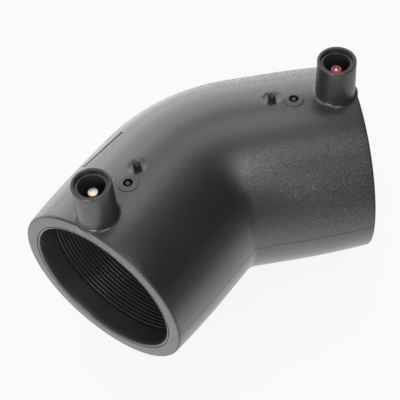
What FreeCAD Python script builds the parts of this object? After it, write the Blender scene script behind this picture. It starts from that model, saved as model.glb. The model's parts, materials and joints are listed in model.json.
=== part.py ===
import FreeCAD, Part
import math
import os

# A 45 degree electrofusion elbow for 63 mm pipe. It lies on its side: the two socket
# axes are level, the outside of the bend faces +Y, and the terminal shrouds stand up
# along +Z. The left socket is on the -X side and the right socket on the +X side.
# All lengths are in millimetres and all angles in degrees.

# The bend and its two sockets
bend_angle = 45.0
inner_corner_radius = 2.5
bore_radius = 31.75
socket_wall = 7.75
insertion_depth = 47.0
mouth_draw_in = 1.4
taper_length = 31.5
taper_steps = 3
mouth_edge_round = 0.6
mouth_chamfer = 0.8
stop_height = 3.25
stop_land = 1.1
stop_chamfer = 1.0
core_ring_inset = 0.7
core_ring_width = 0.35
core_ring_depth = 0.3

# The heating wire: a covered wire wound in a recess of each socket
wire_pitch = 1.6
wire_turns = 17
wire_lead_run = 1.8
wire_crest_below_bore = 0.1
wire_cover_height = 0.9
wire_back_width = 1.24
wire_crest_width = 0.5
wire_recess_margin = 0.25
lead_radius = 0.45
lead_end_radius = 0.6

# The terminal shrouds and the metal pins in them
shroud_mouth_land = 0.5
shroud_offset = 2.33
shroud_rise = 16.5
shroud_rim_radius = 7.6
shroud_draft = 1.0
shroud_rim_chamfer = 0.35
shroud_base_round = 0.9
well_radius = 5.1
well_depth = 14.5
counterbore_radius = 6.35
counterbore_depth = 1.2
pin_radius = 2.0
pin_below_rim = 4.7
pin_tip_chamfer = 0.25
pin_stem_radius = 1.5
pin_flange_radius = 3.2
pin_flange_thickness = 1.4
pin_flange_depth = 2.0
pin_root_above_lead = 1.3
lead_socket_depth = 1.5

# The coloured collar of the right terminal
collar_base_radius = 2.75
collar_shoulder_drop = 1.8
collar_shoulder_round = 0.6
collar_neck_chamfer = 0.25
collar_core_radius = 0.8
collar_eye_radius = 1.2
collar_eye_depth = 0.6
collar_core_below_top = 0.2

# The fusion indicators
indicator_from_mouth = 25.3
indicator_offset = 1.2
indicator_land_radius = 4.15
indicator_land_rise = 0.3
indicator_land_root = 1.0
indicator_well_radius = 1.9
indicator_well_depth = 3.0
indicator_pin_radius = 0.9
indicator_pin_drop = 0.45

# The cut-off gate stubs, each in a shallow dish
gate_from_mouth = 33.5
gate_offset = 2.7
gate_dish_radius = 3.4
gate_dish_depth = 0.6
gate_stub_radius = 1.6
gate_stub_height = 4.2
gate_stub_root = 1.8
gate_notch_width = 2.56
gate_notch_depth = 1.6

# How closely an edge is told by its place, and at how many points
edge_tolerance = 0.001
foot_tolerance = 0.01
foot_samples = 9

# Sizes that follow from the ones above
half_bend = math.radians(bend_angle / 2)
socket_outer_radius = bore_radius + socket_wall
mouth_outer_radius = socket_outer_radius - mouth_draw_in
passage_radius = bore_radius - stop_height
bend_radius = socket_outer_radius + inner_corner_radius
bend_start = bend_radius * math.tan(half_bend)
bend_centre_back = bend_radius / math.cos(half_bend)
stop_along = bend_start + stop_land
socket_reach = stop_along + insertion_depth
shroud_rim_height = socket_outer_radius + shroud_rise
shroud_foot_radius = shroud_rim_radius + math.tan(math.radians(shroud_draft)) * shroud_rise
shroud_along = socket_reach - shroud_mouth_land - shroud_foot_radius
indicator_along = socket_reach - indicator_from_mouth
gate_along = socket_reach - gate_from_mouth
recess_radius = bore_radius + wire_crest_below_bore + wire_cover_height
winding_length = wire_pitch * wire_turns
winding_start = shroud_along - wire_lead_run
recess_start = winding_start + wire_back_width / 2 + wire_recess_margin
recess_end = winding_start - winding_length - wire_back_width / 2 - wire_recess_margin
lead_height = math.sqrt(recess_radius ** 2 - shroud_offset ** 2)
well_floor = shroud_rim_height - well_depth
pin_top = shroud_rim_height - pin_below_rim
pin_flange_top = well_floor - pin_flange_depth
pin_bottom = lead_height + pin_root_above_lead

# The row frame: the lowest generator rests at Z = 0, and the origin is at the middle of the footprint
axis_height = socket_outer_radius
outer_bend_y = bend_radius + socket_outer_radius - bend_centre_back
mouth_inner_y = -socket_reach * math.sin(half_bend) - mouth_outer_radius * math.cos(half_bend)
mouth_round_y = mouth_edge_round * (math.sin(half_bend) + math.cos(half_bend) - 1)

up = FreeCAD.Vector(0, 0, 1)
crossing = FreeCAD.Vector(0, 0, 0)
bend_centre = FreeCAD.Vector(0, -bend_centre_back, 0)


def outward(side):
    # The direction of a socket's axis, out of its mouth: side is -1 for left and +1 for right
    return FreeCAD.Vector(side * math.cos(half_bend), -math.sin(half_bend), 0)


def sideways(side):
    # Square to a socket's axis in the level plane, towards the outside of the bend
    return FreeCAD.Vector(side * math.sin(half_bend), math.cos(half_bend), 0)


def place(side, along, offset, height):
    # A point given by its distance along a socket's axis, its side offset and its height
    return outward(side) * along + sideways(side) * offset + up * height


def surface_height(offset):
    # How high the plain socket stands above the axis at a side offset
    return math.sqrt(socket_outer_radius ** 2 - offset ** 2)


def upright(side, along, offset, low, high, radius):
    # A plain upright cylinder
    return Part.makeCylinder(radius, high - low, place(side, along, offset, low), up)


def disc(side, along, radius):
    # A flat disc square to a socket's axis
    edge = Part.makeCircle(radius, place(side, along, 0, 0), outward(side))
    return Part.Face(Part.Wire([edge]))


def turned(side, outline):
    # Turn a closed outline of (along, radius) corners about a socket's axis
    corners = [place(side, along, 0, radius) for along, radius in outline]
    wire = Part.makePolygon(corners + corners[:1])
    return Part.Face(wire).revolve(crossing, outward(side), 360)


def elbow_rod(radius, reach_along):
    # A solid rod of one radius that follows the bend, with straight ends
    start = bend_start
    swept = disc(1, start, radius).revolve(bend_centre, up, bend_angle)
    ends = [Part.makeCylinder(radius, reach_along - start, place(side, start, 0, 0), outward(side))
            for side in (-1, 1)]
    return swept.fuse(ends)


def outer_socket(side):
    # The outside of one socket: straight, then drawn in more and more towards the mouth
    outline = [(bend_start, 0), (bend_start, socket_outer_radius)]
    for step in range(taper_steps + 1):
        share = step / taper_steps
        along = socket_reach - taper_length * (1 - share)
        outline.append((along, socket_outer_radius - mouth_draw_in * share ** 2))
    outline.append((socket_reach, 0))
    solid = turned(side, outline)
    rim = [edge for edge in solid.Edges if is_mouth_rim(edge, side)]
    return solid.makeFillet(mouth_edge_round, rim)


def is_mouth_rim(edge, side):
    # True for the circle where the outside of a socket meets its end face
    if not isinstance(edge.Curve, Part.Circle):
        return False
    at_mouth = abs(edge.Curve.Center.dot(outward(side)) - socket_reach) < edge_tolerance
    return at_mouth and abs(edge.Curve.Radius - mouth_outer_radius) < edge_tolerance


def shroud(side):
    # The outside of one terminal shroud, a little wider at its foot
    foot = lead_height + lead_end_radius + pin_root_above_lead
    cone = Part.makeCone(shroud_radius(foot), shroud_rim_radius, shroud_rim_height - foot,
                         place(side, shroud_along, shroud_offset, foot), up)
    return cone.makeChamfer(shroud_rim_chamfer, edges_at(cone, shroud_rim_height))


def shroud_radius(height):
    # The outer radius of a shroud at a height above the socket axes
    return shroud_rim_radius + math.tan(math.radians(shroud_draft)) * (shroud_rim_height - height)


def edges_at(solid, height):
    # The edges of a solid that lie level at a height above the socket axes
    return [edge for edge in solid.Edges if abs(edge.BoundBox.ZMin - height) < edge_tolerance]


def is_shroud_foot(edge):
    # True for a piece of the line where the outside of a shroud meets the round socket
    if isinstance(edge.Curve, Part.Line):
        return False
    for side in (-1, 1):
        middle = place(side, shroud_along, shroud_offset, 0)
        on_shroud = [abs(math.hypot(point.x - middle.x, point.y - middle.y) - shroud_radius(point.z))
                     for point in edge.discretize(foot_samples)]
        low = edge.BoundBox.ZMax < socket_outer_radius + shroud_base_round
        if max(on_shroud) < foot_tolerance and low:
            return True
    return False


def well(side):
    # The open well of a shroud, with the counterbore that the plug seats on
    low = upright(side, shroud_along, shroud_offset, well_floor, shroud_rim_height, well_radius)
    ledge = shroud_rim_height - counterbore_depth
    return low.fuse(upright(side, shroud_along, shroud_offset, ledge, shroud_rim_height,
                            counterbore_radius))


def pin_root(side):
    # The part of a terminal pin that is held in the wall: a thinner stem with its anchoring flange
    stem = upright(side, shroud_along, shroud_offset, pin_bottom, well_floor, pin_stem_radius)
    flange_low = pin_flange_top - pin_flange_thickness
    flange = upright(side, shroud_along, shroud_offset, flange_low, pin_flange_top, pin_flange_radius)
    return stem.fuse(flange)


def lead_socket(side):
    # The blind hole in the foot of a pin that takes the end of the wire
    return upright(side, shroud_along, shroud_offset, pin_bottom, pin_bottom + lead_socket_depth,
                   lead_end_radius)


def left_pin():
    # The left terminal pin: plain metal to its flat tip
    shaft = upright(-1, shroud_along, shroud_offset, well_floor, pin_top, pin_radius)
    shaft = shaft.makeChamfer(pin_tip_chamfer, edges_at(shaft, pin_top))
    return shaft.fuse(pin_root(-1)).cut(lead_socket(-1)).removeSplitter()


def right_pin():
    # The right terminal pin: a thin metal core that stands inside the collar
    core = upright(1, shroud_along, shroud_offset, well_floor, pin_top - collar_core_below_top,
                   collar_core_radius)
    return core.fuse(pin_root(1)).cut(lead_socket(1)).removeSplitter()


def right_collar():
    # The collar: a wide base, a rounded shoulder, and a neck as thick as the left pin
    shoulder = pin_top - collar_shoulder_drop
    base = upright(1, shroud_along, shroud_offset, well_floor, shoulder, collar_base_radius)
    base = base.makeFillet(collar_shoulder_round, edges_at(base, shoulder))
    neck = upright(1, shroud_along, shroud_offset, well_floor, pin_top, pin_radius)
    neck = neck.makeChamfer(collar_neck_chamfer, edges_at(neck, pin_top))
    hole = upright(1, shroud_along, shroud_offset, well_floor, pin_top, collar_core_radius)
    eye = upright(1, shroud_along, shroud_offset, pin_top - collar_eye_depth, pin_top,
                  collar_eye_radius)
    return base.fuse(neck).cut(hole.fuse(eye)).removeSplitter()


def wire_path():
    # The straight and bent run of the wire between the two windings, inside the wall
    radius = bend_radius + shroud_offset
    start = bend_start
    middle = bend_centre + FreeCAD.Vector(0, radius, lead_height)
    winding_end = winding_start - winding_length + lead_radius
    left = [place(-1, along, shroud_offset, lead_height) for along in (winding_end, start)]
    right = [place(1, along, shroud_offset, lead_height) for along in (start, winding_end)]
    return Part.Wire([
        Part.LineSegment(left[0], left[1]).toShape(),
        Part.Arc(left[1], middle, right[0]).toShape(),
        Part.LineSegment(right[0], right[1]).toShape(),
    ])


def wire_leads():
    # The covered wire apart from its windings: the run between them and the ends at the pins
    path = wire_path()
    start = path.Vertexes[0].Point
    section = Part.Wire([Part.makeCircle(lead_radius, start, outward(-1))])
    bridge = path.makePipeShell([section], True, False)
    pieces = []
    for side in (-1, 1):
        corner = place(side, shroud_along, shroud_offset, lead_height)
        run = wire_lead_run + lead_radius
        pieces.append(Part.makeCylinder(lead_radius, run, corner, outward(side) * -1))
        pieces.append(upright(side, shroud_along, shroud_offset, lead_height - lead_end_radius,
                              pin_bottom + lead_socket_depth, lead_end_radius))
    return bridge.fuse(pieces).removeSplitter()


def winding(side):
    # One socket's winding: its flat back lies on the recess wall, and its crest faces the bore
    turn = math.asin(shroud_offset / recess_radius)
    start_direction = sideways(side) * math.sin(turn) + up * math.cos(turn)
    inward = outward(side) * -1
    across = inward.cross(start_direction)
    coil_path = Part.makeHelix(wire_pitch, winding_length, recess_radius)
    crest_radius = recess_radius - wire_cover_height
    waist_radius = recess_radius - wire_cover_height / 2
    outline = [
        (recess_radius, -wire_back_width / 2),
        (waist_radius, -wire_back_width / 2),
        (crest_radius, -wire_crest_width / 2),
        (crest_radius, wire_crest_width / 2),
        (waist_radius, wire_back_width / 2),
        (recess_radius, wire_back_width / 2),
    ]
    corners = [FreeCAD.Vector(radius, 0, along) for radius, along in outline]
    section = Part.makePolygon(corners + corners[:1])
    solid = coil_path.makePipeShell([section], True, True)
    turned_in = FreeCAD.Rotation(start_direction, across, inward, "ZXY")
    solid.Placement = FreeCAD.Placement(place(side, winding_start, 0, 0), turned_in)
    return solid


def gate_stub(side):
    # The stub that is left where the gate was pinched off, with its notched top
    low = surface_height(gate_offset) - gate_stub_root
    high = surface_height(gate_offset) + gate_stub_height - gate_dish_depth
    post = upright(side, gate_along, gate_offset, low, high, gate_stub_radius)
    middle = place(side, gate_along, gate_offset, high)
    half_width = gate_notch_width / 2
    front = middle.y - gate_stub_radius
    corners = [FreeCAD.Vector(middle.x - half_width, front, high),
               FreeCAD.Vector(middle.x + half_width, front, high),
               FreeCAD.Vector(middle.x, front, high - gate_notch_depth)]
    notch = Part.Face(Part.makePolygon(corners + corners[:1]))
    return post.cut(notch.extrude(FreeCAD.Vector(0, gate_stub_radius * 2, 0)))


def gate_dish(side):
    # The shallow round dish about the gate stub
    ball_radius = (gate_dish_radius ** 2 + gate_dish_depth ** 2) / (2 * gate_dish_depth)
    height = surface_height(gate_offset) - gate_dish_depth + ball_radius
    return Part.makeSphere(ball_radius, place(side, gate_along, gate_offset, height))


def indicator_land(side):
    # The flat round land about a fusion indicator
    low = surface_height(indicator_land_radius + indicator_offset) - indicator_land_root
    return upright(side, indicator_along, indicator_offset, low,
                   socket_outer_radius + indicator_land_rise, indicator_land_radius)


def indicator_gap(side):
    # The ring-shaped gap between an indicator's pin and its well, and the drop above the pin
    top = socket_outer_radius + indicator_land_rise
    floor = top - indicator_well_depth
    hole = upright(side, indicator_along, indicator_offset, floor, top, indicator_well_radius)
    post = upright(side, indicator_along, indicator_offset, floor, top - indicator_pin_drop,
                   indicator_pin_radius)
    return hole.cut(post)


def socket_hollow(side):
    # The bore of one socket, its mouth chamfer, the wire's recess and the ring in the end face
    bore = turned(side, [
        (stop_along, 0),
        (stop_along, bore_radius),
        (socket_reach - mouth_chamfer, bore_radius),
        (socket_reach, bore_radius + mouth_chamfer),
        (socket_reach, 0),
    ])
    recess = turned(side, [
        (recess_end, 0),
        (recess_end, recess_radius),
        (recess_start, recess_radius),
        (recess_start, 0),
    ])
    stop = turned(side, [
        (stop_along - stop_chamfer, 0),
        (stop_along - stop_chamfer, passage_radius),
        (stop_along, passage_radius + stop_chamfer),
        (stop_along, 0),
    ])
    ring_inner = bore_radius + mouth_chamfer + core_ring_inset
    ring = turned(side, [
        (socket_reach - core_ring_depth, ring_inner),
        (socket_reach - core_ring_depth, ring_inner + core_ring_width),
        (socket_reach, ring_inner + core_ring_width),
        (socket_reach, ring_inner),
    ])
    return [bore, recess, stop, ring]


def body():
    # The moulded body, with everything that is moulded in one with it
    swept = disc(1, bend_start, socket_outer_radius).revolve(bend_centre, up, bend_angle)
    solid = swept.fuse([outer_socket(side) for side in (-1, 1)])
    solid = solid.fuse([shroud(side) for side in (-1, 1)])
    foot = [edge for edge in solid.Edges if is_shroud_foot(edge)]
    solid = solid.makeFillet(shroud_base_round, foot)
    solid = solid.fuse([indicator_land(side) for side in (-1, 1)])
    solid = solid.cut([gate_dish(side) for side in (-1, 1)])
    solid = solid.fuse([gate_stub(side) for side in (-1, 1)])
    hollows = [elbow_rod(passage_radius, stop_along), wire_leads()]
    for side in (-1, 1):
        hollows += socket_hollow(side)
        hollows += [well(side), pin_root(side), indicator_gap(side)]
    for hollow in hollows:
        solid = solid.cut(hollow)
    return solid.removeSplitter()


def heating_wire():
    # The whole covered wire, from one pin to the other, as one piece
    return wire_leads().fuse([winding(side) for side in (-1, 1)])


def to_row_frame(shape):
    # Move a shape from the crossing of the socket axes to the row frame
    middle_y = (outer_bend_y + mouth_inner_y + mouth_round_y) / 2
    moved = shape.copy()
    moved.translate(FreeCAD.Vector(0, -middle_y, axis_height))
    return moved


nodes = {
    "body": body,
    "heating_wire": heating_wire,
    "terminal_pin_left": left_pin,
    "terminal_pin_right": right_pin,
    "terminal_collar_right": right_collar,
}

os.makedirs("parts", exist_ok=True)
for name, make in nodes.items():
    made = to_row_frame(make())
    made.exportStep("parts/" + name + ".step")
    print(name, len(made.Solids), "solids", round(made.Volume, 1), "mm3")
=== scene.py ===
import json
import math
import bpy
from mathutils import Matrix, Vector

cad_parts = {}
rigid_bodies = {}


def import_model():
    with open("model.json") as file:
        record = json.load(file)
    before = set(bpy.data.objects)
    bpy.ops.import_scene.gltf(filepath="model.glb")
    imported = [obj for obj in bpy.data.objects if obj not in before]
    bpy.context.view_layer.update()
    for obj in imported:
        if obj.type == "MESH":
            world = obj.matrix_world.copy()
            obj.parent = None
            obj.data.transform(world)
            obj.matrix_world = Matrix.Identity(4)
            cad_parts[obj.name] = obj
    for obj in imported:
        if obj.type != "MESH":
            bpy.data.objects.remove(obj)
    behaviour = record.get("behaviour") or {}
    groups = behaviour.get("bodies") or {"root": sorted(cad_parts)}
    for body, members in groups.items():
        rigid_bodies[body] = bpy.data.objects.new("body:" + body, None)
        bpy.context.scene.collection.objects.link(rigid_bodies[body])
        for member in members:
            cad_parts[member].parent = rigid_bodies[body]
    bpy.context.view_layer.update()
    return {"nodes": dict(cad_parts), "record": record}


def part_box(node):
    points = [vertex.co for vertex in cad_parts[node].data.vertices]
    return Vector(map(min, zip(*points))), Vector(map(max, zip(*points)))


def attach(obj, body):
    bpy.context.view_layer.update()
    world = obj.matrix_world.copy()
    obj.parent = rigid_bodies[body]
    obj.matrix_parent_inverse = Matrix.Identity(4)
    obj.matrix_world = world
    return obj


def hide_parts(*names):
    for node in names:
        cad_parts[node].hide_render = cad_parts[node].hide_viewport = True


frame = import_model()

# Lengths are metres; the dictionaries of the pieces and of the view hold millimetres and degrees
mm = 0.001
up = Vector((0, 0, 1))
# places nearer than a hair count as one, and radii nearer than a trace as equal
hair = 1e-6
trace = 1e-9
smoothAngle = math.radians(30)
print("frame loaded:", ", ".join(sorted(frame["nodes"])))

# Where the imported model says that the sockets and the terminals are
mounts = {mount["name"]: mount for mount in frame["record"]["mounts"]}
socketAxis = {side: Vector(mounts["socket_" + side]["axis"]) for side in ("left", "right")}
socketSide = {"left": -1, "right": 1}
socketMiddle = Vector(mounts["socket_right"]["pos_m"])
crossing = socketMiddle - socketAxis["right"] * (socketMiddle.x / socketAxis["right"].x)
boreRadius = mounts["socket_right"]["dims"]["r_mm"] * mm
outerRadius = crossing.z
halfBend = math.atan2(-socketAxis["right"].y, socketAxis["right"].x)
terminalPoint = Vector(mounts["terminal_seat_right"]["pos_m"])
terminalAlong = (terminalPoint - crossing).dot(socketAxis["right"])
terminalBore = mounts["terminal_seat_right"]["dims"]["r_mm"] * mm
pinRadius = mounts["terminal_pin_left"]["dims"]["r_mm"] * mm
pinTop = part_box("terminal_pin_left")[1].z
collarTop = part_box("terminal_collar_right")[1].z
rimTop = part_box("body")[1].z


def sidewaysOf(side):
    # level, square to a socket's axis, towards the outside of the bend
    return up.cross(socketAxis[side]) * socketSide[side]


def place(side, along, offset, height):
    # a point by its distance along a socket's axis, its side offset and its height over the axis
    return crossing + socketAxis[side] * along + sidewaysOf(side) * offset + up * height


terminalOffset = (terminalPoint - crossing).dot(sidewaysOf("right"))


# Small helpers that stand in for the hand
def deselectAll():
    if bpy.context.mode != "OBJECT":
        bpy.ops.object.mode_set(mode="OBJECT")
    bpy.ops.object.select_all(action="DESELECT")


def pick(piece):
    deselectAll()
    piece.select_set(True)
    bpy.context.view_layer.objects.active = piece
    return piece


def turnTo(axis):
    # the turn that brings +Z to an axis and keeps a ring's first vertex in the level plane
    level = up.cross(axis)
    level = Vector((1, 0, 0)) if level.length < hair else level.normalized()
    return Matrix((level, axis.cross(level), axis)).transposed().to_euler()


def startRing(name, centre, axis, radius, segments, filled=True):
    deselectAll()
    bpy.ops.mesh.primitive_circle_add(
        vertices=segments, radius=radius, location=centre, rotation=turnTo(axis),
        fill_type="NGON" if filled else "NOTHING")
    ring = bpy.context.object
    ring.name = name
    bpy.ops.object.transform_apply(location=True, rotation=True, scale=True)
    bpy.ops.object.mode_set(mode="EDIT")
    bpy.ops.mesh.select_all(action="SELECT")
    return ring


def growRings(origin, axis, rings):
    # pull the selected ring through a list of (along, radius), as when a bottle is turned
    bpy.ops.mesh.select_mode(type="FACE" if bpy.context.object.data.total_face_sel else "EDGE")
    for (along, radius), (nextAlong, nextRadius) in zip(rings, rings[1:]):
        step = axis * (nextAlong - along)
        bpy.ops.mesh.extrude_region_move(TRANSFORM_OT_translate={"value": step})
        if abs(nextRadius - radius) > trace:
            share = nextRadius / radius
            bpy.ops.transform.resize(value=(share, share, share), center_override=origin + axis * nextAlong)


def turned(name, origin, axis, rings, segments):
    # a closed turned solid from a list of (along, radius), with a flat face at both ends
    piece = startRing(name, origin + axis * rings[0][0], axis, rings[0][1], segments)
    growRings(origin, axis, rings)
    bpy.ops.mesh.select_all(action="SELECT")
    bpy.ops.mesh.normals_make_consistent(inside=False)
    bpy.ops.object.mode_set(mode="OBJECT")
    return piece


def roundCorner(centre, radius, fromAngle, toAngle, steps):
    # points of an arc as (along, radius) corners; angles in degrees from the along direction
    arc = []
    for step in range(steps + 1):
        angle = math.radians(fromAngle + (toAngle - fromAngle) * step / steps)
        arc.append((centre[0] + radius * math.cos(angle), centre[1] + radius * math.sin(angle)))
    return arc


def applyModifier(piece, kind, **settings):
    modifier = piece.modifiers.new(kind.title(), kind)
    for name, value in settings.items():
        setattr(modifier, name, value)
    pick(piece)
    bpy.ops.object.modifier_apply(modifier=modifier.name)


def combine(piece, tool, operation):
    # join two closed pieces, or cut one from the other; the second one is used up
    applyModifier(piece, "BOOLEAN", operation=operation, solver="EXACT", object=tool)
    bpy.data.objects.remove(tool)


def smoothed(piece, angle=smoothAngle):
    pick(piece)
    bpy.ops.object.shade_smooth_by_angle(angle=angle)
    return piece


def joined(pieces):
    whole = pick(pieces[0])
    for piece in pieces:
        piece.select_set(True)
    bpy.ops.object.join()
    return whole


# The moulded body. Along is the distance from the crossing of the axes
elbow = {
    "bendRadius": 42.0, "bendSteps": 9, "ringSegments": 160, "ringPitch": 2.4,
    "reach": 65.497, "insertion": 47.0, "mouthDrawIn": 1.4, "taperLength": 31.5, "mouthRound": 0.6,
    "mouthChamfer": 0.4, "passageRadius": 28.5, "stopChamfer": 1.0, "edgeRound": 0.12,
    "coreRingInner": 32.6, "coreRingWidth": 0.35, "coreRingDepth": 0.4,
    "recessRadius": 32.75, "recessStart": 56.18, "recessEnd": 27.24,
    "partingWidth": 0.3, "partingDepth": 0.09, "middleSlack": 0.003, "mirrorMerge": 0.005,
}
reach = elbow["reach"] * mm
bendStart = elbow["bendRadius"] * mm * math.tan(halfBend)
bendCentre = crossing - Vector((0, elbow["bendRadius"] * mm / math.cos(halfBend), 0))


def skinRadius(along):
    # the outside is straight at first and drawn in more and more towards the mouth
    share = max(0.0, (along - reach) / (elbow["taperLength"] * mm) + 1)
    return outerRadius - elbow["mouthDrawIn"] * mm * min(share, 1.0) ** 2


def skinHeight(along, offset):
    # how high the skin stands over the axis at a side offset
    return math.sqrt(skinRadius(along) ** 2 - offset ** 2)


def evenly(start, end, pitch):
    # even steps from start to end, without the start
    count = max(1, round(abs(end - start) / pitch))
    return [start + (end - start) * step / count for step in range(1, count + 1)]


def outsideRings():
    # from the end of the bend to the flat face of the mouth
    pitch = elbow["ringPitch"] * mm
    rounding = elbow["mouthRound"] * mm
    lip = reach - rounding
    rings = [(bendStart, outerRadius)]
    rings += [(along, skinRadius(along)) for along in evenly(bendStart, lip - rounding / 2, pitch)]
    corner = (lip, skinRadius(reach) - rounding)
    rings += roundCorner(corner, rounding, 80, 0, 5)
    return rings


def insideRings():
    # from the face of the mouth, over the core ring and the bore, to the start of the bend's passage
    pitch = elbow["ringPitch"] * mm
    ease = elbow["edgeRound"] * mm
    chamfer = elbow["mouthChamfer"] * mm
    ringIn = elbow["coreRingInner"] * mm
    ringOut = ringIn + elbow["coreRingWidth"] * mm
    ringFloor = reach - elbow["coreRingDepth"] * mm
    recess = elbow["recessRadius"] * mm
    recessStart = elbow["recessStart"] * mm
    recessEnd = elbow["recessEnd"] * mm
    stop = reach - elbow["insertion"] * mm
    passage = elbow["passageRadius"] * mm
    stopChamfer = elbow["stopChamfer"] * mm
    rings = [
        (reach, ringOut + ease / 2), (reach - ease / 2, ringOut),
        (ringFloor, ringOut), (ringFloor, ringIn),
        (reach - ease / 2, ringIn), (reach, ringIn - ease / 2),
        (reach, boreRadius + chamfer + ease), (reach - ease, boreRadius + chamfer - ease),
        (reach - chamfer + ease, boreRadius + ease), (reach - chamfer - ease, boreRadius),
    ]
    rings += [(along, boreRadius) for along in evenly(reach - chamfer - ease, recessStart + ease, pitch)]
    rings += [(recessStart, boreRadius + ease), (recessStart, recess)]
    rings += [(along, recess) for along in evenly(recessStart, recessEnd, pitch)]
    rings += [(recessEnd, boreRadius + ease), (recessEnd - ease, boreRadius)]
    rings += [(along, boreRadius) for along in evenly(recessEnd - ease, stop, pitch)]
    rings += [
        (stop, passage + stopChamfer + ease), (stop - ease, passage + stopChamfer - ease),
        (stop - stopChamfer, passage), (bendStart, passage),
    ]
    return rings


def selectWhere(piece, kind, wanted):
    # select the edges or faces whose corners are all wanted, and go on in edit mode
    bpy.ops.object.mode_set(mode="EDIT")
    bpy.ops.mesh.select_mode(type=kind)
    bpy.ops.mesh.select_all(action="DESELECT")
    bpy.ops.object.mode_set(mode="OBJECT")
    for part in piece.data.edges if kind == "EDGE" else piece.data.polygons:
        part.select = all(wanted(piece.data.vertices[index].co) for index in part.vertices)
    bpy.ops.object.mode_set(mode="EDIT")


def skinDepth(co):
    # how far a point lies inside the outer skin
    arm = co - crossing
    along = arm.dot(socketAxis["right"])
    if along > bendStart:
        radial = (arm - socketAxis["right"] * along).length
        return skinRadius(along) - radial
    arm = co - bendCentre
    return outerRadius - math.hypot(math.hypot(arm.x, arm.y) - elbow["bendRadius"] * mm, arm.z)


def onPartingLine(co):
    return abs(co.z - crossing.z) < hair and skinDepth(co) < elbow["mouthRound"] * mm


def onMiddle(co):
    return abs(co.x) < elbow["middleSlack"] * mm


def cutPartingLine(half):
    # the mould's parting line is a hairline groove along the level middle of the skin
    selectWhere(half, "EDGE", onPartingLine)
    bpy.ops.mesh.bevel(offset=elbow["partingWidth"] / 2 * mm, segments=2, affect="EDGES")
    selectWhere(half, "EDGE", onPartingLine)
    bpy.ops.transform.shrink_fatten(value=-elbow["partingDepth"] * mm)


def makeHalfElbow():
    # a ring at the middle of the bend is spun to the socket, drawn along it, and spun back inside
    middle = Vector((0, bendCentre.y + elbow["bendRadius"] * mm, crossing.z))
    across = Vector((1, 0, 0))
    half = startRing("elbowBody", middle, across, outerRadius, elbow["ringSegments"], filled=False)
    bpy.ops.mesh.select_mode(type="EDGE")
    bpy.ops.mesh.spin(steps=elbow["bendSteps"], angle=halfBend, center=bendCentre, axis=up)
    growRings(crossing, socketAxis["right"], outsideRings() + insideRings())
    bpy.ops.mesh.spin(steps=elbow["bendSteps"], angle=-halfBend, center=bendCentre, axis=up)
    bpy.ops.mesh.select_all(action="SELECT")
    bpy.ops.mesh.normals_make_consistent(inside=False)
    cutPartingLine(half)
    # a wall at the middle closes the half while pieces are added to it and cut from it, because a boolean
    # on a piece that isn't closed all round may turn out differently from run to run
    selectWhere(half, "EDGE", onMiddle)
    bpy.ops.mesh.bridge_edge_loops()
    bpy.ops.mesh.select_all(action="SELECT")
    bpy.ops.mesh.normals_make_consistent(inside=False)
    bpy.ops.object.mode_set(mode="OBJECT")
    return half


# The terminal shroud: a cup whose foot runs out into the skin
shroud = {
    "rimRadius": 7.6, "draft": 1.0, "footRound": 0.9, "footSteps": 5, "skirt": 0.25, "skirtDip": 0.06,
    "root": 36.0, "rimRound": 0.35, "edgeRound": 0.15, "counterboreDepth": 1.2, "wellRadius": 5.1,
    "wellDepth": 14.5, "floorRound": 0.5, "ringPitch": 2.5, "segments": 96, "lift": 0.02,
    "filletFrom": 0.04, "filletReach": 9.1,
}


def makeShroud():
    # heights are over the axis; the foot is made level and then lowered onto the skin
    rim = rimTop - crossing.z
    rimRadius = shroud["rimRadius"] * mm
    ease = shroud["edgeRound"] * mm
    rimRound = shroud["rimRound"] * mm
    fillet = shroud["footRound"] * mm
    pitch = shroud["ringPitch"] * mm
    foot = outerRadius
    slope = math.tan(math.radians(shroud["draft"]))
    wallAtFoot = rimRadius + (rim - foot - fillet) * slope
    wide = wallAtFoot + fillet + shroud["skirt"] * mm
    rings = [(shroud["root"] * mm, wide), (foot - shroud["skirtDip"] * mm, wide)]
    for along, radius in roundCorner((0, 0), fillet, 180, 90, shroud["footSteps"]):
        rings.append((foot + shroud["lift"] * mm + fillet + along, wallAtFoot + fillet - radius))
    side = evenly(foot + fillet, rim - rimRound, pitch)
    rings += [(height, rimRadius + (rim - height) * slope) for height in side]
    rings += roundCorner((rim - rimRound, rimRadius - rimRound), rimRound, 75, 0, 4)
    ledge = rim - shroud["counterboreDepth"] * mm
    well = shroud["wellRadius"] * mm
    floor = rim - shroud["wellDepth"] * mm
    floorRound = shroud["floorRound"] * mm
    rings += [(rim, terminalBore + ease), (rim - ease, terminalBore)]
    rings += [(ledge, terminalBore), (ledge, well + ease), (ledge - ease, well)]
    rings += [(height, well) for height in evenly(ledge - ease, floor + floorRound, pitch)]
    rings += roundCorner((floor + floorRound, well - floorRound), floorRound, 105, 180, 4)
    rings += [(floor, pinRadius)]
    centre = place("right", terminalAlong, terminalOffset, 0)
    cup = turned("shroud", centre, up, rings, shroud["segments"])
    drapeOnSkin(cup, outerRadius, outerRadius + fillet + shroud["lift"] * mm, rim - rimRound)
    return cup


def drapeOnSkin(piece, top, fullBelow=None, noneAbove=None):
    # lower each vertex by as much as the skin has fallen away from its top there; where two heights are
    # given, by less and less between them and not at all over the upper one
    for vertex in piece.data.vertices:
        arm = vertex.co - crossing
        drop = top - skinHeight(arm.dot(socketAxis["right"]), arm.dot(sidewaysOf("right")))
        if noneAbove is not None:
            drop *= min(1.0, max(0.0, (noneAbove - arm.z) / (noneAbove - fullBelow)))
        vertex.co.z -= drop


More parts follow.
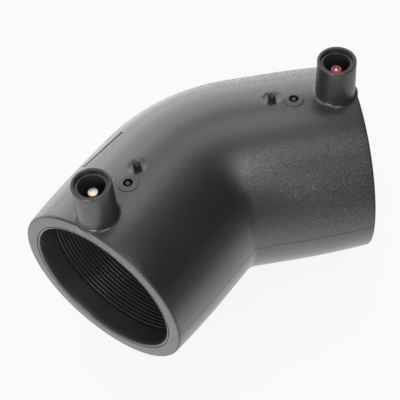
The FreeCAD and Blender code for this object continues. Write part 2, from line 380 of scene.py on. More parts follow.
# The fusion indicator: a slightly raised land with a ring-shaped gap about a small post
indicator = {
    "fromMouth": 25.3, "offset": 1.2, "landRadius": 4.15, "landRise": 0.24, "landRoot": 1.5,
    "landRound": 0.12, "landRings": (0.85, 0.7, 0.55, 0.3), "segments": 64,
    "holeRadius": 1.9, "holeDepth": 3.0, "postRadius": 0.9, "postDrop": 0.45, "postRound": 0.12,
}
indicatorAlong = reach - indicator["fromMouth"] * mm
indicatorFoot = place("right", indicatorAlong, indicator["offset"] * mm, 0)
indicatorTop = outerRadius + indicator["landRise"] * mm


def makeIndicatorLand():
    radius = indicator["landRadius"] * mm
    ease = indicator["landRound"] * mm
    lip = indicatorTop - ease
    rings = [(indicatorTop - indicator["landRoot"] * mm, radius), (lip, radius)]
    rings += roundCorner((lip, radius - ease), ease, 60, 0, 2)
    rings += [(indicatorTop, radius * share) for share in indicator["landRings"]]
    land = turned("indicatorLand", indicatorFoot, up, rings, indicator["segments"])
    drapeOnSkin(land, outerRadius)
    return land


def makeIndicatorGap():
    # the tool that cuts the ring-shaped gap and leaves the post
    top = indicatorTop
    floor = top - indicator["holeDepth"] * mm
    hole = indicator["holeRadius"] * mm
    post = indicator["postRadius"] * mm
    ease = indicator["postRound"] * mm
    postTop = top - indicator["postDrop"] * mm
    rings = [(top + ease, hole + 2 * ease), (top, hole + ease), (top - ease, hole)]
    rings += [(floor, hole), (floor, post)]
    rings += roundCorner((postTop - ease, post - ease), ease, 90, 0, 3)
    return turned("indicatorGap", indicatorFoot, up, rings, indicator["segments"])


# The gate stub: pinched off with a notch, in a shallow round dish
gate = {
    "fromMouth": 33.7, "offset": 3.5, "dishRadius": 3.7, "dishDepth": 0.4, "dishInner": 1.0, "dishSteps": 6,
    "dishPower": 4, "stubRadius": 1.55, "stubHeight": 3.7, "stubRoot": 1.8, "stubRound": 0.12, "segments": 48,
    "notchDepth": 1.9, "notchSteps": 8, "notchTurn": -15.0,
}
gateAlong = reach - gate["fromMouth"] * mm
gateSkin = skinHeight(gateAlong, gate["offset"] * mm)
gateTop = gateSkin + (gate["stubHeight"] - gate["dishDepth"]) * mm
gateFoot = place("right", gateAlong, gate["offset"] * mm, 0)


def makeGateDish():
    # the tool that cuts the dish: a turned bowl, flat in the middle, that reaches above the skin
    depth = gate["dishDepth"] * mm
    radius = gate["dishRadius"] * mm
    inner = gate["dishInner"] * mm
    rings = []
    # the half step makes the skin cross the bowl between two rings
    for step in range(gate["dishSteps"] + 2):
        wide = inner + (radius - inner) * (step + 0.5) / gate["dishSteps"]
        rings.append((gateSkin - depth + depth * (wide / radius) ** gate["dishPower"], wide))
    bowl = turned("gateDish", gateFoot, up, rings, gate["segments"])
    # turned by half a step, so that its edges cross the post's faces in their middle
    halfStep = Matrix.Rotation(math.pi / gate["segments"], 4, up)
    bowl.data.transform(Matrix.Translation(gateFoot) @ halfStep @ Matrix.Translation(-gateFoot))
    drapeOnSkin(bowl, gateSkin)
    return bowl


def makeGateStub():
    # a round post, with rings on its flat top for the notch
    radius = gate["stubRadius"] * mm
    ease = gate["stubRound"] * mm
    belowNotch = gateTop - gate["notchDepth"] * mm - 2 * ease
    rings = [(gateSkin - gate["stubRoot"] * mm, radius), (belowNotch, radius)]
    rings += roundCorner((gateTop - ease, radius - ease), ease, 90, 0, 3)
    inside = radius - ease
    rings += [(gateTop, inside * (1 - step / gate["notchSteps"])) for step in range(1, gate["notchSteps"])]
    return turned("gateStub", gateFoot, up, rings, gate["segments"])


def pinchGates(piece):
    # the top of each stub sinks to a V; both run the same way, seen from above
    radius = gate["stubRadius"] * mm
    ease = gate["stubRound"] * mm
    turn = math.radians(gate["notchTurn"])
    across = Vector((math.cos(turn), math.sin(turn), 0))
    lowest = gateTop - 1.5 * ease
    feet = [place(side, gateAlong, gate["offset"] * mm, 0) for side in ("left", "right")]
    for vertex in piece.data.vertices:
        for foot in feet:
            arm = vertex.co - foot
            if arm.z > lowest and arm.xy.length < radius + ease:
                aside = min(1.0, abs(arm.dot(across)) / (radius - ease))
                vertex.co.z -= gate["notchDepth"] * mm * (1 - aside)


# The long narrow panel on the outer side of the left socket, in a fine groove
strip = {
    "start": (-44.48, 23.34), "end": (-24.95, 28.38), "width": 1.3, "rise": 0.2, "root": 0.6, "round": 0.05,
    "groove": 0.5, "grooveDepth": 0.45, "steps": 24, "stepsAcross": 8,
}


def skinTop(x, y):
    # the height of the upper skin at a point of the plan, on the bend or on either socket
    arm = Vector((abs(x), y - crossing.y, 0))
    along = arm.dot(socketAxis["right"])
    if along > bendStart:
        return crossing.z + skinHeight(along, arm.dot(sidewaysOf("right")))
    offset = math.hypot(x, y - bendCentre.y) - elbow["bendRadius"] * mm
    return crossing.z + math.sqrt(outerRadius ** 2 - offset ** 2)


def makeStrip(margin, rise, root):
    # a plate that follows the skin, as much wider and longer all round as the margin says
    start = Vector(strip["start"]) * mm
    run = Vector(strip["end"]) * mm - start
    middle = start + run / 2
    deselectAll()
    bpy.ops.mesh.primitive_grid_add(
        x_subdivisions=strip["steps"], y_subdivisions=strip["stepsAcross"], size=1,
        location=(middle.x, middle.y, 0), rotation=(0, 0, math.atan2(run.y, run.x)))
    bar = bpy.context.object
    bar.scale = (run.length + 2 * margin * mm, (strip["width"] + 2 * margin) * mm, 1)
    bpy.ops.object.transform_apply(location=True, rotation=True, scale=True)
    for vertex in bar.data.vertices:
        vertex.co.z = skinTop(vertex.co.x, vertex.co.y)
    applyModifier(bar, "SOLIDIFY", thickness=(rise + root) * mm, offset=(rise - root) / (rise + root))
    applyModifier(bar, "BEVEL", width=strip["round"] * mm, segments=2, limit_method="ANGLE")
    return bar


def makeBody():
    half = makeHalfElbow()
    print("half elbow:", len(half.data.polygons), "faces")
    combine(half, makeShroud(), "UNION")
    combine(half, makeIndicatorLand(), "UNION")
    combine(half, makeGateDish(), "DIFFERENCE")
    combine(half, makeGateStub(), "UNION")
    combine(half, makeIndicatorGap(), "DIFFERENCE")
    print("with its shroud, indicator and gate stub:", len(half.data.polygons), "faces")
    # the wall at the middle goes, and the half is mirrored
    selectWhere(half, "FACE", onMiddle)
    bpy.ops.mesh.delete(type="FACE")
    bpy.ops.object.mode_set(mode="OBJECT")
    applyModifier(half, "MIRROR", merge_threshold=elbow["mirrorMerge"] * mm)
    bpy.ops.object.mode_set(mode="EDIT")
    bpy.ops.mesh.select_all(action="SELECT")
    bpy.ops.mesh.remove_doubles(threshold=elbow["middleSlack"] * mm)
    bpy.ops.mesh.normals_make_consistent(inside=False)
    bpy.ops.object.mode_set(mode="OBJECT")
    pinchGates(half)
    clearance = strip["rise"] + strip["root"]
    combine(half, makeStrip(strip["groove"], clearance, strip["grooveDepth"]), "DIFFERENCE")
    combine(half, makeStrip(0, strip["rise"], strip["root"]), "UNION")
    print("whole body:", len(half.data.polygons), "faces")
    return smoothed(half)


# The heating wire: covered wire wound in each socket, joined by a run inside the wall
wire = {
    "pitch": 1.6, "turns": 17, "stepsPerTurn": 96, "sectionPoints": 16, "centreRadius": 32.3,
    "halfHeight": 0.45, "halfWidth": 0.76, "flatness": 0.55, "smoothAngle": 60.0,
    "leadRun": 1.8, "leadHeight": 32.667, "leadRadius": 0.45, "leadPoints": 12, "bendSteps": 24,
    "endRadius": 0.6, "endTop": 35.467,
}


def makeWinding(side):
    deselectAll()
    bpy.ops.mesh.primitive_circle_add(
        vertices=wire["sectionPoints"], radius=1, location=(wire["centreRadius"] * mm, 0, 0),
        rotation=(math.pi / 2, 0, 0))
    coil = bpy.context.object
    bpy.ops.object.transform_apply(location=False, rotation=True, scale=True)
    # the round section is flattened where it lies against its neighbours and the bore
    for vertex in coil.data.vertices:
        for axis, half in ((0, wire["halfHeight"]), (2, wire["halfWidth"])):
            value = vertex.co[axis]
            vertex.co[axis] = math.copysign(abs(value) ** wire["flatness"], value) * half * mm
    bpy.ops.object.transform_apply(location=True, rotation=True, scale=True)
    applyModifier(coil, "SCREW", axis="Z", angle=2 * math.pi, screw_offset=wire["pitch"] * mm,
                  iterations=wire["turns"], steps=wire["stepsPerTurn"], render_steps=wire["stepsPerTurn"])
    bpy.ops.object.mode_set(mode="EDIT")
    bpy.ops.mesh.select_mode(type="EDGE")
    bpy.ops.mesh.select_all(action="DESELECT")
    bpy.ops.mesh.select_non_manifold(
        extend=False, use_wire=False, use_multi_face=False, use_non_contiguous=False, use_verts=False)
    bpy.ops.mesh.edge_face_add()
    bpy.ops.mesh.select_all(action="SELECT")
    bpy.ops.mesh.normals_make_consistent(inside=False)
    bpy.ops.object.mode_set(mode="OBJECT")
    # it starts beside the pin and winds inwards
    turn = math.asin(terminalOffset / (elbow["recessRadius"] * mm))
    startDirection = sidewaysOf(side) * math.sin(turn) + up * math.cos(turn)
    inward = -socketAxis[side]
    frameTurn = Matrix((startDirection, inward.cross(startDirection), inward)).transposed().to_4x4()
    start = place(side, terminalAlong - wire["leadRun"] * mm, 0, 0)
    coil.matrix_world = Matrix.Translation(start) @ frameTurn
    bpy.ops.object.transform_apply(location=True, rotation=True, scale=True)
    return coil


def makeLeads():
    # the run over the bend, and at each end the wire that goes up into the foot of the pin
    height = wire["leadHeight"] * mm
    radius = wire["leadRadius"] * mm
    runEnd = terminalAlong - (wire["leadRun"] + wire["pitch"] * wire["turns"]) * mm + radius
    start = place("left", runEnd, terminalOffset, height)
    toBend = socketAxis["left"] * (bendStart - runEnd)
    fromBend = socketAxis["right"] * (runEnd - bendStart)
    bridge = startRing("leads", start, -socketAxis["left"], radius, wire["leadPoints"])
    bpy.ops.mesh.select_mode(type="FACE")
    bpy.ops.mesh.extrude_region_move(TRANSFORM_OT_translate={"value": toBend})
    bpy.ops.mesh.spin(steps=wire["bendSteps"], angle=-2 * halfBend, center=bendCentre, axis=up)
    bpy.ops.mesh.extrude_region_move(TRANSFORM_OT_translate={"value": fromBend})
    bpy.ops.mesh.select_all(action="SELECT")
    bpy.ops.mesh.normals_make_consistent(inside=False)
    bpy.ops.object.mode_set(mode="OBJECT")
    pieces = [bridge]
    for side in ("left", "right"):
        foot = place(side, terminalAlong, terminalOffset, 0)
        endRadius = wire["endRadius"] * mm
        rings = [(height - endRadius, endRadius), (wire["endTop"] * mm, endRadius)]
        pieces.append(turned("leadEnd", foot, up, rings, wire["leadPoints"]))
        rings = [(0, radius), (wire["leadRun"] * mm + radius, radius)]
        pieces.append(turned("leadRun", foot + up * height, -socketAxis[side], rings, wire["leadPoints"]))
    return joined(pieces)


def makeHeatingWire():
    windings = [makeWinding(side) for side in ("left", "right")]
    covered = joined(windings + [makeLeads()])
    covered.name = "heatingWire"
    print("heating wire:", len(covered.data.polygons), "faces")
    return smoothed(covered, math.radians(wire["smoothAngle"]))


# The terminals: a turned metal pin on the left, and on the right a thin core in a moulded collar
terminal = {
    "floorBelowRim": 14.5, "pinBottom": 33.967, "stemRadius": 1.5, "flangeRadius": 3.2, "flangeTop": 39.5,
    "flangeThickness": 1.4, "tipChamfer": 0.18, "ease": 0.06, "segments": 64,
    "collarRadius": 2.75, "shoulderDrop": 1.8, "shoulderRound": 0.6, "neckFoot": 0.2, "eyeRadius": 1.2,
    "eyeDepth": 0.6, "coreRadius": 0.8, "coreDrop": 0.2, "coreRound": 0.3,
}
wellFloor = rimTop - crossing.z - terminal["floorBelowRim"] * mm


def turnedTerminal(name, side, rings):
    centre = place(side, terminalAlong, terminalOffset, 0)
    return smoothed(turned(name, centre, up, rings, terminal["segments"]))


def stemRings():
    # the hidden part of a pin, with the flange that anchors it in the wall
    bottom = terminal["pinBottom"] * mm
    stem = terminal["stemRadius"] * mm
    flange = terminal["flangeRadius"] * mm
    top = terminal["flangeTop"] * mm
    low = top - terminal["flangeThickness"] * mm
    return [(bottom, stem), (low, stem), (low, flange), (top, flange), (top, stem), (wellFloor, stem)]


def makeLeftPin():
    top = pinTop - crossing.z
    chamfer = terminal["tipChamfer"] * mm
    ease = terminal["ease"] * mm
    rings = stemRings() + [
        (wellFloor, pinRadius), (top - chamfer - ease, pinRadius), (top - chamfer + ease, pinRadius - ease),
        (top - ease, pinRadius - chamfer + ease), (top, pinRadius - chamfer - ease),
    ]
    return turnedTerminal("pinLeft", "left", rings)


def makeRightPin():
    top = collarTop - crossing.z - terminal["coreDrop"] * mm
    core = terminal["coreRadius"] * mm
    tip = terminal["coreRound"] * mm
    rings = stemRings() + [(wellFloor, core)] + roundCorner((top - tip, core - tip), tip, 90, 0, 5)
    return turnedTerminal("pinRight", "right", rings)


def makeCollar():
    top = collarTop - crossing.z
    base = terminal["collarRadius"] * mm
    shoulder = top - terminal["shoulderDrop"] * mm
    shoulderRound = terminal["shoulderRound"] * mm
    neckFoot = terminal["neckFoot"] * mm
    chamfer = terminal["tipChamfer"] * mm
    ease = terminal["ease"] * mm
    eye = terminal["eyeRadius"] * mm
    floor = top - terminal["eyeDepth"] * mm
    rings = [(wellFloor, base), (shoulder - shoulderRound, base)]
    rings += roundCorner((shoulder - shoulderRound, base - shoulderRound), shoulderRound, 75, 15, 4)
    rings += [(shoulder, pinRadius + neckFoot), (shoulder + neckFoot, pinRadius), (top - chamfer, pinRadius)]
    rings += roundCorner((top - chamfer, pinRadius - chamfer), chamfer, 75, 0, 5)
    rings += [(top, eye + ease), (top - ease, eye), (floor + ease, eye), (floor, eye - ease)]
    return turnedTerminal("collarRight", "right", rings)


body = makeBody()
heatingWire = makeHeatingWire()
pinLeft = makeLeftPin()
pinRight = makeRightPin()
collar = makeCollar()
print("terminals: two pins and a collar")


# Finishes, with their lengths in metres. A tone drifts as many times finer than the skin's as Drift says
finish = {
    # the skin's glint colour is painted highlight: a pale base colour in a few grains that stands in for
    # their glints of light
    "skinDark": (0.01, 0.0102, 0.0106), "skinPaintedGlint": (0.06, 0.0605, 0.062), "skinRough": (0.5, 0.12),
    "skinGrains": 2200.0, "skinDepth": 0.00015, "skinDrift": 1, "flowShare": 0.15, "paintedGlintPower": 3.0,
    "grainAndGlintFrom": (-0.004, 0.024), "grainAndGlintHeight": 0.059, "grainAndGlintFade": (0.01, 0.018),
    "smoothShare": 0.15, "smoothSheen": 0.5,
    "satinDark": (0.016, 0.0162, 0.0168), "satinLight": (0.024, 0.0243, 0.025), "satinDrift": 2,
    "satinRough": (0.36, 0.44), "filletRough": (0.12, 0.2),
    "coreDark": (0.034, 0.0345, 0.0355), "coreLight": (0.043, 0.0435, 0.045), "coreDrift": 2,
    "coreRough": (0.3, 0.4), "coreLines": 3000.0, "coreDepth": 0.00001,
    # the faces' pale end is partly painted highlight, for the light that the end faces and chamfers catch
    "faceDark": (0.036, 0.0365, 0.038), "facePaleAndHighlight": (0.1, 0.101, 0.104), "faceRough": (0.3, 0.44),
    "faceLines": 1500.0, "faceDepth": 0.00004,
    "wireDark": (0.03, 0.03, 0.031), "wireLight": (0.038, 0.038, 0.0395), "wireDrift": 8,
    "wireRough": (0.2, 0.26), "wireGrains": 2200.0, "wireDepth": 0.0000025,
    "pinDark": (0.88, 0.71, 0.58), "pinLight": (0.95, 0.79, 0.67), "pinDrift": 20,
    "pinRough": (0.42, 0.5), "pinLines": 7000.0, "pinDepth": 0.00001,
    "collarDark": (0.56, 0.05, 0.085), "collarLight": (0.68, 0.085, 0.13), "collarDrift": 12,
    "collarRough": 0.25, "collarCoat": 0.6, "collarCoatRough": 0.06, "collarGrains": 1100.0,
    "collarDepth": 0.0000025,
    "flowScale": 28.0, "flowDetail": 4.0, "flowDistortion": 0.6, "lineDetail": 2.0, "noiseRange": (0.3, 0.7),
    "slack": 0.00002, "stubFrom": 0.0005, "lipDepth": 0.001,
}


# An effect that several materials share is a node group
def newGroup(name, inputs, outputs):
    # each input has its value, or None if it is a vector; each output is one number
    group = bpy.data.node_groups.new(name, "ShaderNodeTree")
    for socketName, value in inputs.items():
        kind = "NodeSocketVector" if value is None else "NodeSocketFloat"
        socket = group.interface.new_socket(name=socketName, in_out="INPUT", socket_type=kind)
        if value is not None:
            socket.default_value = value
    for socketName in outputs:
        group.interface.new_socket(name=socketName, in_out="OUTPUT", socket_type="NodeSocketFloat")
    return group, group.nodes.new("NodeGroupInput").outputs, group.nodes.new("NodeGroupOutput").inputs


def addNode(tree, kind, links=(), **settings):
    # a node with its settings, and its links in as (input, output socket or plain value)
    node = tree.nodes.new(kind)
    for name, value in settings.items():
        setattr(node, name, value)
    for target, source in links:
        if isinstance(source, bpy.types.NodeSocket):
            tree.links.new(source, node.inputs[target])
        else:
            node.inputs[target].default_value = source
    return node


def mathStep(tree, operation, *sources):
    return addNode(tree, "ShaderNodeMath", enumerate(sources), operation=operation).outputs[0]


def vectorStep(tree, operation, *sources):
    node = addNode(tree, "ShaderNodeVectorMath", enumerate(sources), operation=operation)
    return node.outputs["Value" if operation in ("DOT_PRODUCT", "LENGTH") else "Vector"]


def scaled(tree, source, low, high, fromLow=0.0, fromHigh=1.0):
    node = addNode(tree, "ShaderNodeMapRange", [
        ("Value", source), ("From Min", fromLow), ("From Max", fromHigh), ("To Min", low), ("To Max", high)])
    return node.outputs["Result"]


def makeSparkGrain():
    # the pebbly skin that a spark-eroded mould leaves: rounded grains, each with a tone of its own
    group, given, out = newGroup("sparkGrain", {"Vector": None, "Grains": 2000.0}, ("Height", "Tone"))
    pebbles = addNode(group, "ShaderNodeTexVoronoi", [
        ("Vector", given["Vector"]), ("Scale", given["Grains"])], feature="F1")
    tone = addNode(group, "ShaderNodeSeparateColor", [("Color", pebbles.outputs["Color"])])
    group.links.new(pebbles.outputs["Distance"], out["Height"])
    group.links.new(tone.outputs["Red"], out["Tone"])
    return group


def makeFlowTone():
    # the slow drift in tone and sheen of a moulded surface
    group, given, out = newGroup("flowTone", {"Vector": None, "Scale": 30.0}, ("Drift",))
    drift = addNode(group, "ShaderNodeTexNoise", [
        ("Vector", given["Vector"]), ("Scale", given["Scale"]), ("Detail", finish["flowDetail"]),
        ("Distortion", finish["flowDistortion"])])
    group.links.new(scaled(group, drift.outputs["Fac"], 0.0, 1.0, *finish["noiseRange"]), out["Drift"])
    return group


def makeTurnedLines():
    # the fine rings that a turned surface carries, by the distance along the axis or from it
    group, given, out = newGroup("turnedLines", {"Place": 0.0, "Lines": 4000.0}, ("Height",))
    lines = addNode(group, "ShaderNodeTexNoise", noise_dimensions="1D", links=[
        ("W", given["Place"]), ("Scale", given["Lines"]), ("Detail", finish["lineDetail"])])
    group.links.new(lines.outputs["Fac"], out["Height"])
    return group


sparkGrain = makeSparkGrain()
flowTone = makeFlowTone()
turnedLines = makeTurnedLines()


def newFinish(name, **values):
    # a material, its node tree, its shader with the given values, and the Object coordinates
    material = bpy.data.materials.new(name)
    material.use_nodes = True
    tree = material.node_tree
    shader = tree.nodes["Principled BSDF"]
    for socketName, value in values.items():
        shader.inputs[socketName.replace("_", " ")].default_value = value
    coords = tree.nodes.new("ShaderNodeTexCoord").outputs["Object"]
    return material, tree, shader, coords


def placeGroup(tree, group, **values):
    return addNode(tree, "ShaderNodeGroup", values.items(), node_tree=group).outputs


def tinted(tree, shader, factor, dark, light):
    mix = addNode(tree, "ShaderNodeMix", [("Factor", factor)], data_type="RGBA")
    mix.inputs["A"].default_value = dark + (1,)
    mix.inputs["B"].default_value = light + (1,)
    tree.links.new(mix.outputs["Result"], shader.inputs["Base Color"])


def roughened(tree, shader, factor, rough):
    tree.links.new(scaled(tree, factor, *rough), shader.inputs["Roughness"])


def bumped(tree, shader, height, distance):
    bump = addNode(tree, "ShaderNodeBump", [("Height", height), ("Distance", distance)])
    tree.links.new(bump.outputs["Normal"], shader.inputs["Normal"])


def driftOver(tree, coords, name):
    scale = finish["flowScale"] * finish[name + "Drift"]
    return placeGroup(tree, flowTone, Vector=coords, Scale=scale)["Drift"]


def drifting(tree, shader, coords, name, rough=None):
    # the tone drifts between the finish's dark and light, and the sheen with it where rough is given
    drift = driftOver(tree, coords, name)
    tinted(tree, shader, drift, finish[name + "Dark"], finish[name + "Light"])
    if rough:
        roughened(tree, shader, drift, rough)


def fromCrossing(tree, coords):
    # the arm from the crossing of the axes, with the left half of the elbow laid over the right one
    parts = addNode(tree, "ShaderNodeSeparateXYZ", [("Vector", coords)]).outputs
    aside = mathStep(tree, "ABSOLUTE", parts["X"])
    mirrored = addNode(tree, "ShaderNodeCombineXYZ", [("X", aside), ("Y", parts["Y"]), ("Z", parts["Z"])])
    return vectorStep(tree, "SUBTRACT", mirrored.outputs[0], crossing)


def distanceAlong(tree, coords):
    # how far along the nearer socket's axis
    return vectorStep(tree, "DOT_PRODUCT", fromCrossing(tree, coords), socketAxis["right"])


def distanceFrom(tree, coords):
    # how far from the nearer socket's axis
    across = vectorStep(tree, "CROSS_PRODUCT", fromCrossing(tree, coords), socketAxis["right"])
    return vectorStep(tree, "LENGTH", across)


def makeSkinFinish():
    # black, with the grains of a spark-eroded mould, strongest in a level band on the right half; there a few
    # grains carry a painted glint, a pale base colour that stands in for sparkling light, besides their real
    # sheen and bump
    material, tree, shader, coords = newFinish("black polyethylene skin", Specular_IOR_Level=1.0)
    grain = placeGroup(tree, sparkGrain, Vector=coords, Grains=finish["skinGrains"])
    drift = scaled(tree, driftOver(tree, coords, "skin"), 0.0, finish["flowShare"])
    # the band where the grains are coarse, which also holds the painted glints
    parts = addNode(tree, "ShaderNodeSeparateXYZ", [("Vector", coords)]).outputs
    fromBand = mathStep(tree, "ABSOLUTE", mathStep(tree, "SUBTRACT", parts["Z"], finish["grainAndGlintHeight"]))
    aside = scaled(tree, parts["X"], 0.0, 1.0, *finish["grainAndGlintFrom"])
    level = scaled(tree, fromBand, 1.0, 0.0, *finish["grainAndGlintFade"])
    grainAndPaintedGlint = scaled(tree, mathStep(tree, "MULTIPLY", aside, level), finish["smoothShare"], 1.0)
    # painted highlight: a few grains get a pale base colour, standing in for the light they glint with
    paintedGlint = mathStep(tree, "POWER", grain["Tone"], finish["paintedGlintPower"])
    tone = mathStep(tree, "MULTIPLY_ADD", paintedGlint, grainAndPaintedGlint, drift)
    tinted(tree, shader, tone, finish["skinDark"], finish["skinPaintedGlint"])
    sheen = addNode(tree, "ShaderNodeMix", [
        ("Factor", grainAndPaintedGlint), ("A", finish["smoothSheen"]), ("B", grain["Tone"])])
    roughened(tree, shader, sheen.outputs["Result"], finish["skinRough"])
    bumped(tree, shader, mathStep(tree, "MULTIPLY", grain["Height"], grainAndPaintedGlint), finish["skinDepth"])
    return material


def makeSatinFinish(name, rough):
    # smoother than the skin: the shrouds and the gate stubs, and glossier at the shrouds' feet and edges
    material, tree, shader, coords = newFinish(name, Specular_IOR_Level=1.0)
    drifting(tree, shader, coords, "satin", rough)
    return material


def makeCoreFinish():
    # where the mould's polished cores were: the bore, the wells and the counterbores
    material, tree, shader, coords = newFinish("smooth polyethylene")
    lines = placeGroup(tree, turnedLines, Place=distanceAlong(tree, coords), Lines=finish["coreLines"])
    drifting(tree, shader, coords, "core", finish["coreRough"])
    bumped(tree, shader, lines["Height"], finish["coreDepth"])
    return material


def makeFaceFinish():
    # the end faces, the edges of the bores and the pinched tops of the stubs, paler where they were cut;
    # their pale base colour is also painted highlight, for the light that the faces and chamfers catch
    material, tree, shader, coords = newFinish("faced polyethylene", Specular_IOR_Level=1.0)
    lines = placeGroup(tree, turnedLines, Place=distanceFrom(tree, coords), Lines=finish["faceLines"])
    tone = scaled(tree, lines["Height"], 0.0, 1.0, *finish["noiseRange"])
    tinted(tree, shader, tone, finish["faceDark"], finish["facePaleAndHighlight"])
    roughened(tree, shader, tone, finish["faceRough"])
    bumped(tree, shader, lines["Height"], finish["faceDepth"])
    return material


def makeWireFinish():
    material, tree, shader, coords = newFinish("smooth wire cover")
    grain = placeGroup(tree, sparkGrain, Vector=coords, Grains=finish["wireGrains"])
    drifting(tree, shader, coords, "wire", finish["wireRough"])
    bumped(tree, shader, grain["Tone"], finish["wireDepth"])
    return material


def makePinFinish(name, side):
    # turned and plated brass, with turning rings about the pin's own axis
    material, tree, shader, coords = newFinish(name, Metallic=1.0)
    middle = place(side, terminalAlong, terminalOffset, 0)
    centred = addNode(tree, "ShaderNodeMapping", [
        ("Vector", coords), ("Location", (-middle.x, -middle.y, 0)), ("Scale", (1, 1, 0))])
    fromAxis = vectorStep(tree, "LENGTH", centred.outputs["Vector"])
    lines = placeGroup(tree, turnedLines, Place=fromAxis, Lines=finish["pinLines"])
    drifting(tree, shader, coords, "pin", finish["pinRough"])
    bumped(tree, shader, lines["Height"], finish["pinDepth"])
    return material


def makeCollarFinish():
    material, tree, shader, coords = newFinish(
        "glossy red collar", Roughness=finish["collarRough"], Coat_Weight=finish["collarCoat"],
        Coat_Roughness=finish["collarCoatRough"])
    grain = placeGroup(tree, sparkGrain, Vector=coords, Grains=finish["collarGrains"])
    drifting(tree, shader, coords, "collar")
    bumped(tree, shader, grain["Tone"], finish["collarDepth"])
    return material


def finishOf(centre):
    # which of the body's finishes a face takes, by its place
    arm = Vector((abs(centre.x), centre.y, centre.z)) - crossing
    along = arm.dot(socketAxis["right"])
    aside = arm.dot(sidewaysOf("right"))
    radial = (arm - socketAxis["right"] * along).length
    depth = skinDepth(crossing + arm)
    belowRim = rimTop - crossing.z - arm.z
    overSkin = arm.z > outerRadius
    wellReach = math.hypot(along - terminalAlong, aside - terminalOffset)
    holeReach = math.hypot(along - indicatorAlong, aside - indicator["offset"] * mm)
    gateReach = math.hypot(along - gateAlong, aside - gate["offset"] * mm)
    slack = finish["slack"]
    # the tops of the stubs, the end faces and the edges of the bores
    stubReach = (gate["stubRadius"] - gate["stubRound"] / 2) * mm
    if arm.z > gateSkin + finish["stubFrom"] and gateReach < stubReach:
        return "face"
    chamfer = elbow["mouthChamfer"] * mm
    onFace = along > reach - slack and radial < skinRadius(reach) - elbow["mouthRound"] * mm
    onChamfer = along > reach - chamfer and boreRadius + slack < radial < boreRadius + chamfer + slack
    if onFace or onChamfer:
        return "face"
    # the bores, the passage and the ring in the end face
    inRing = radial < skinRadius(along) and along > reach - finish["lipDepth"]
    if inRing or depth > (outerRadius - elbow["recessRadius"] * mm) / 2:
        return "core"
    # the shrouds' edges, and then their wells
    edge = shroud["edgeRound"] * mm
    rimRound = shroud["rimRound"] * mm
    onLedge = abs(belowRim - shroud["counterboreDepth"] * mm - edge / 2) < edge / 4
    if overSkin and onLedge and wellReach < terminalBore - edge:
        return "fillet"
    if belowRim < rimRound and wellReach > (shroud["rimRadius"] - shroud["rimRound"]) * mm:
        return "fillet"
    if overSkin and (wellReach < terminalBore + slack or belowRim < rimRound):
        return "core"
    if arm.z > 0 and holeReach < indicator["holeRadius"] * mm:
        return "core"
    # the skin and what stands on it
    foot = shroud["footRound"] * mm
    byShroud = shroud["rimRadius"] * mm < wellReach < shroud["filletReach"] * mm
    if depth > -shroud["filletFrom"] * mm or depth > -foot and not byShroud:
        return "skin"
    return "fillet" if depth > -foot else "satin"


def dressBody():
    finishes = {
        "skin": makeSkinFinish(), "core": makeCoreFinish(), "face": makeFaceFinish(),
        "satin": makeSatinFinish("satin polyethylene", finish["satinRough"]),
        "fillet": makeSatinFinish("polished polyethylene", finish["filletRough"]),
    }
    for material in finishes.values():
        body.data.materials.append(material)
    order = list(finishes)
    for polygon in body.data.polygons:
        polygon.material_index = order.index(finishOf(polygon.center))


dressBody()
heatingWire.data.materials.append(makeWireFinish())
pinLeft.data.materials.append(makePinFinish("plated brass left", "left"))
pinRight.data.materials.append(makePinFinish("plated brass right", "right"))
collar.data.materials.append(makeCollarFinish())
print("finishes set")

# Camera, at the angle of the photograph
view = {
    "azimuth": -27.12, "elevation": 52.26, "roll": -5.57, "distance": 454.24, "target": (-5.48, 2.78, 39.5),
    "focalPixels": 1097.3, "imagePixels": 400, "sensor": 36.0, "clipStart": 10.0,
}


def makeCamera():
    azimuth = math.radians(view["azimuth"])
    elevation = math.radians(view["elevation"])
    roll = math.radians(view["roll"])
    level = math.cos(elevation)
    back = Vector((math.sin(azimuth) * level, -math.cos(azimuth) * level, math.sin(elevation)))
    across = (-back).cross(up).normalized()
    upright = across.cross(-back)
    right = across * math.cos(roll) + upright * math.sin(roll)
    above = upright * math.cos(roll) - across * math.sin(roll)
    lens = bpy.data.cameras.new("camera")
    lens.sensor_width = view["sensor"]
    lens.lens = view["focalPixels"] / view["imagePixels"] * view["sensor"]
    lens.clip_start = view["clipStart"] * mm
    camera = bpy.data.objects.new("camera", lens)
    bpy.context.scene.collection.objects.link(camera)
    turn = Matrix((right, above, back)).transposed().to_4x4()
    stand = Vector(view["target"]) * mm + back * view["distance"] * mm
    camera.matrix_world = Matrix.Translation(stand) @ turn
    bpy.context.scene.camera = camera


# Plain soft studio light, in metres. Each lamp: where it stands seen from the object (degrees from +Y
# towards +X, degrees over the floor, how far away), its size and its brightness as seen
studio = {
    "floorSize": 6.0, "floorColor": (0.86, 0.86, 0.86), "floorRough": 0.9, "floorGlow": 0.88,
    "floorShades": (1.0, 0.25), "floorEdge": (0.05, 0.18),
    "worldLight": 0.36, "roomSide": (138, 6), "roomShades": (0.77, 0.07), "roomEdge": (0.1, 0.7),
    "aim": (0, 0, 0.04),
    "lamps": {
        "behind": ((15, 24, 1.1), (1.5, 0.8), 1.35),
        "horizon": ((15, 2, 1.0), (1.8, 0.1), 3.0),
        "overhead": ((10, 72, 1.1), (0.8, 0.5), 1.15),
        "front": ((-176, 54, 0.9), (0.42, 0.55), 2.35),
        "left": ((-124, 20, 0.9), (0.36, 0.26), 8.5),
    },
    "tables": {
        "table": ((0, 0.01, 0.001), (0.4, 0.26), 0.28),
        "tableBack": ((-0.02, 0.25, 0.001), (0.4, 0.24), 1.1),
    },
}


def towards(turn, height):
    turn, height = math.radians(turn), math.radians(height)
    return Vector((math.sin(turn) * math.cos(height), math.cos(turn) * math.cos(height), math.sin(height)))


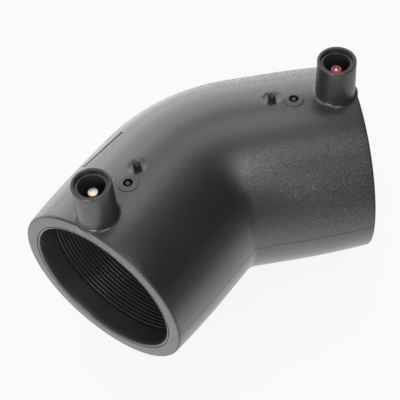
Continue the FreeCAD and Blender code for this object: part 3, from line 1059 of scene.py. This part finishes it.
def seenRays(tree):
    # two masks: the camera's own rays, and all that show a background
    rays = tree.nodes.new("ShaderNodeLightPath").outputs
    seen = rays["Is Camera Ray"]
    for name in ("Is Glossy Ray", "Is Transmission Ray"):
        seen = mathStep(tree, "MAXIMUM", seen, rays[name])
    return rays["Is Camera Ray"], seen


def shadedRoom(tree, camera, coords, side, shades, edge):
    # full strength to the camera; in reflections it falls off towards the open side of the room
    nearness = vectorStep(tree, "DOT_PRODUCT", coords, side)
    return mathStep(tree, "MAXIMUM", camera, scaled(tree, nearness, *shades, *edge))


def makeWorld():
    # white as a background; in reflections the open side of the room is darker, as in any studio
    world = bpy.data.worlds.new("studio")
    bpy.context.scene.world = world
    world.use_nodes = True
    tree = world.node_tree
    camera, seen = seenRays(tree)
    direction = tree.nodes.new("ShaderNodeTexCoord").outputs["Generated"]
    side = towards(*studio["roomSide"])
    shown = shadedRoom(tree, camera, direction, side, studio["roomShades"], studio["roomEdge"])
    strength = addNode(tree, "ShaderNodeMix", [("Factor", seen), ("A", studio["worldLight"]), ("B", shown)])
    background = tree.nodes["Background"]
    background.inputs["Color"].default_value = (1, 1, 1, 1)
    tree.links.new(strength.outputs["Result"], background.inputs["Strength"])


def makeFloor():
    deselectAll()
    bpy.ops.mesh.primitive_plane_add(size=studio["floorSize"], location=(0, 0, 0))
    floor = bpy.context.object
    floor.name = "floor"
    material = bpy.data.materials.new("white floor")
    material.use_nodes = True
    tree = material.node_tree
    shader = tree.nodes["Principled BSDF"]
    shader.inputs["Base Color"].default_value = studio["floorColor"] + (1,)
    shader.inputs["Roughness"].default_value = studio["floorRough"]
    camera, seen = seenRays(tree)
    coords = tree.nodes.new("ShaderNodeTexCoord").outputs["Object"]
    side = towards(studio["roomSide"][0], 0)
    shown = shadedRoom(tree, camera, coords, side, studio["floorShades"], studio["floorEdge"])
    glow = addNode(tree, "ShaderNodeEmission", [("Strength", shown)])
    share = scaled(tree, seen, 0.0, studio["floorGlow"])
    mix = addNode(tree, "ShaderNodeMixShader", [(0, share), (1, shader.outputs[0]), (2, glow.outputs[0])])
    tree.links.new(mix.outputs[0], tree.nodes["Material Output"].inputs["Surface"])
    floor.data.materials.append(material)


def makeLamp(name, size, brightness):
    lamp = bpy.data.lights.new(name, "AREA")
    lamp.shape = "RECTANGLE"
    lamp.size, lamp.size_y = size
    lamp.energy = math.pi * size[0] * size[1] * brightness
    holder = bpy.data.objects.new(name, lamp)
    holder.visible_camera = False
    bpy.context.scene.collection.objects.link(holder)
    return holder


def makeLamps():
    aim = Vector(studio["aim"])
    for name, ((turn, height, away), size, brightness) in studio["lamps"].items():
        holder = makeLamp(name, size, brightness)
        holder.location = aim + towards(turn, height) * away
        holder.rotation_euler = (-towards(turn, height)).to_track_quat("-Z", "Y").to_euler()


def makeLightTables():
    # two parts of the table glow a little from below, which shows in what reflects them
    for name, (location, size, brightness) in studio["tables"].items():
        holder = makeLamp(name, size, brightness)
        holder.location = location
        holder.rotation_euler = (math.pi, 0, 0)


makeWorld()
makeFloor()
makeLamps()
makeLightTables()
makeCamera()
bpy.context.scene.view_settings.view_transform = "Standard"
print("studio set")

built = (
    (body, "body", "body"), (heatingWire, "heating_wire", "wire_cover"),
    (pinLeft, "terminal_pin_left", "pin_metal"), (pinRight, "terminal_pin_right", "pin_metal"),
    (collar, "terminal_collar_right", "collar"),
)
for piece, node, slot in built:
    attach(piece, "root")
    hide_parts(node)
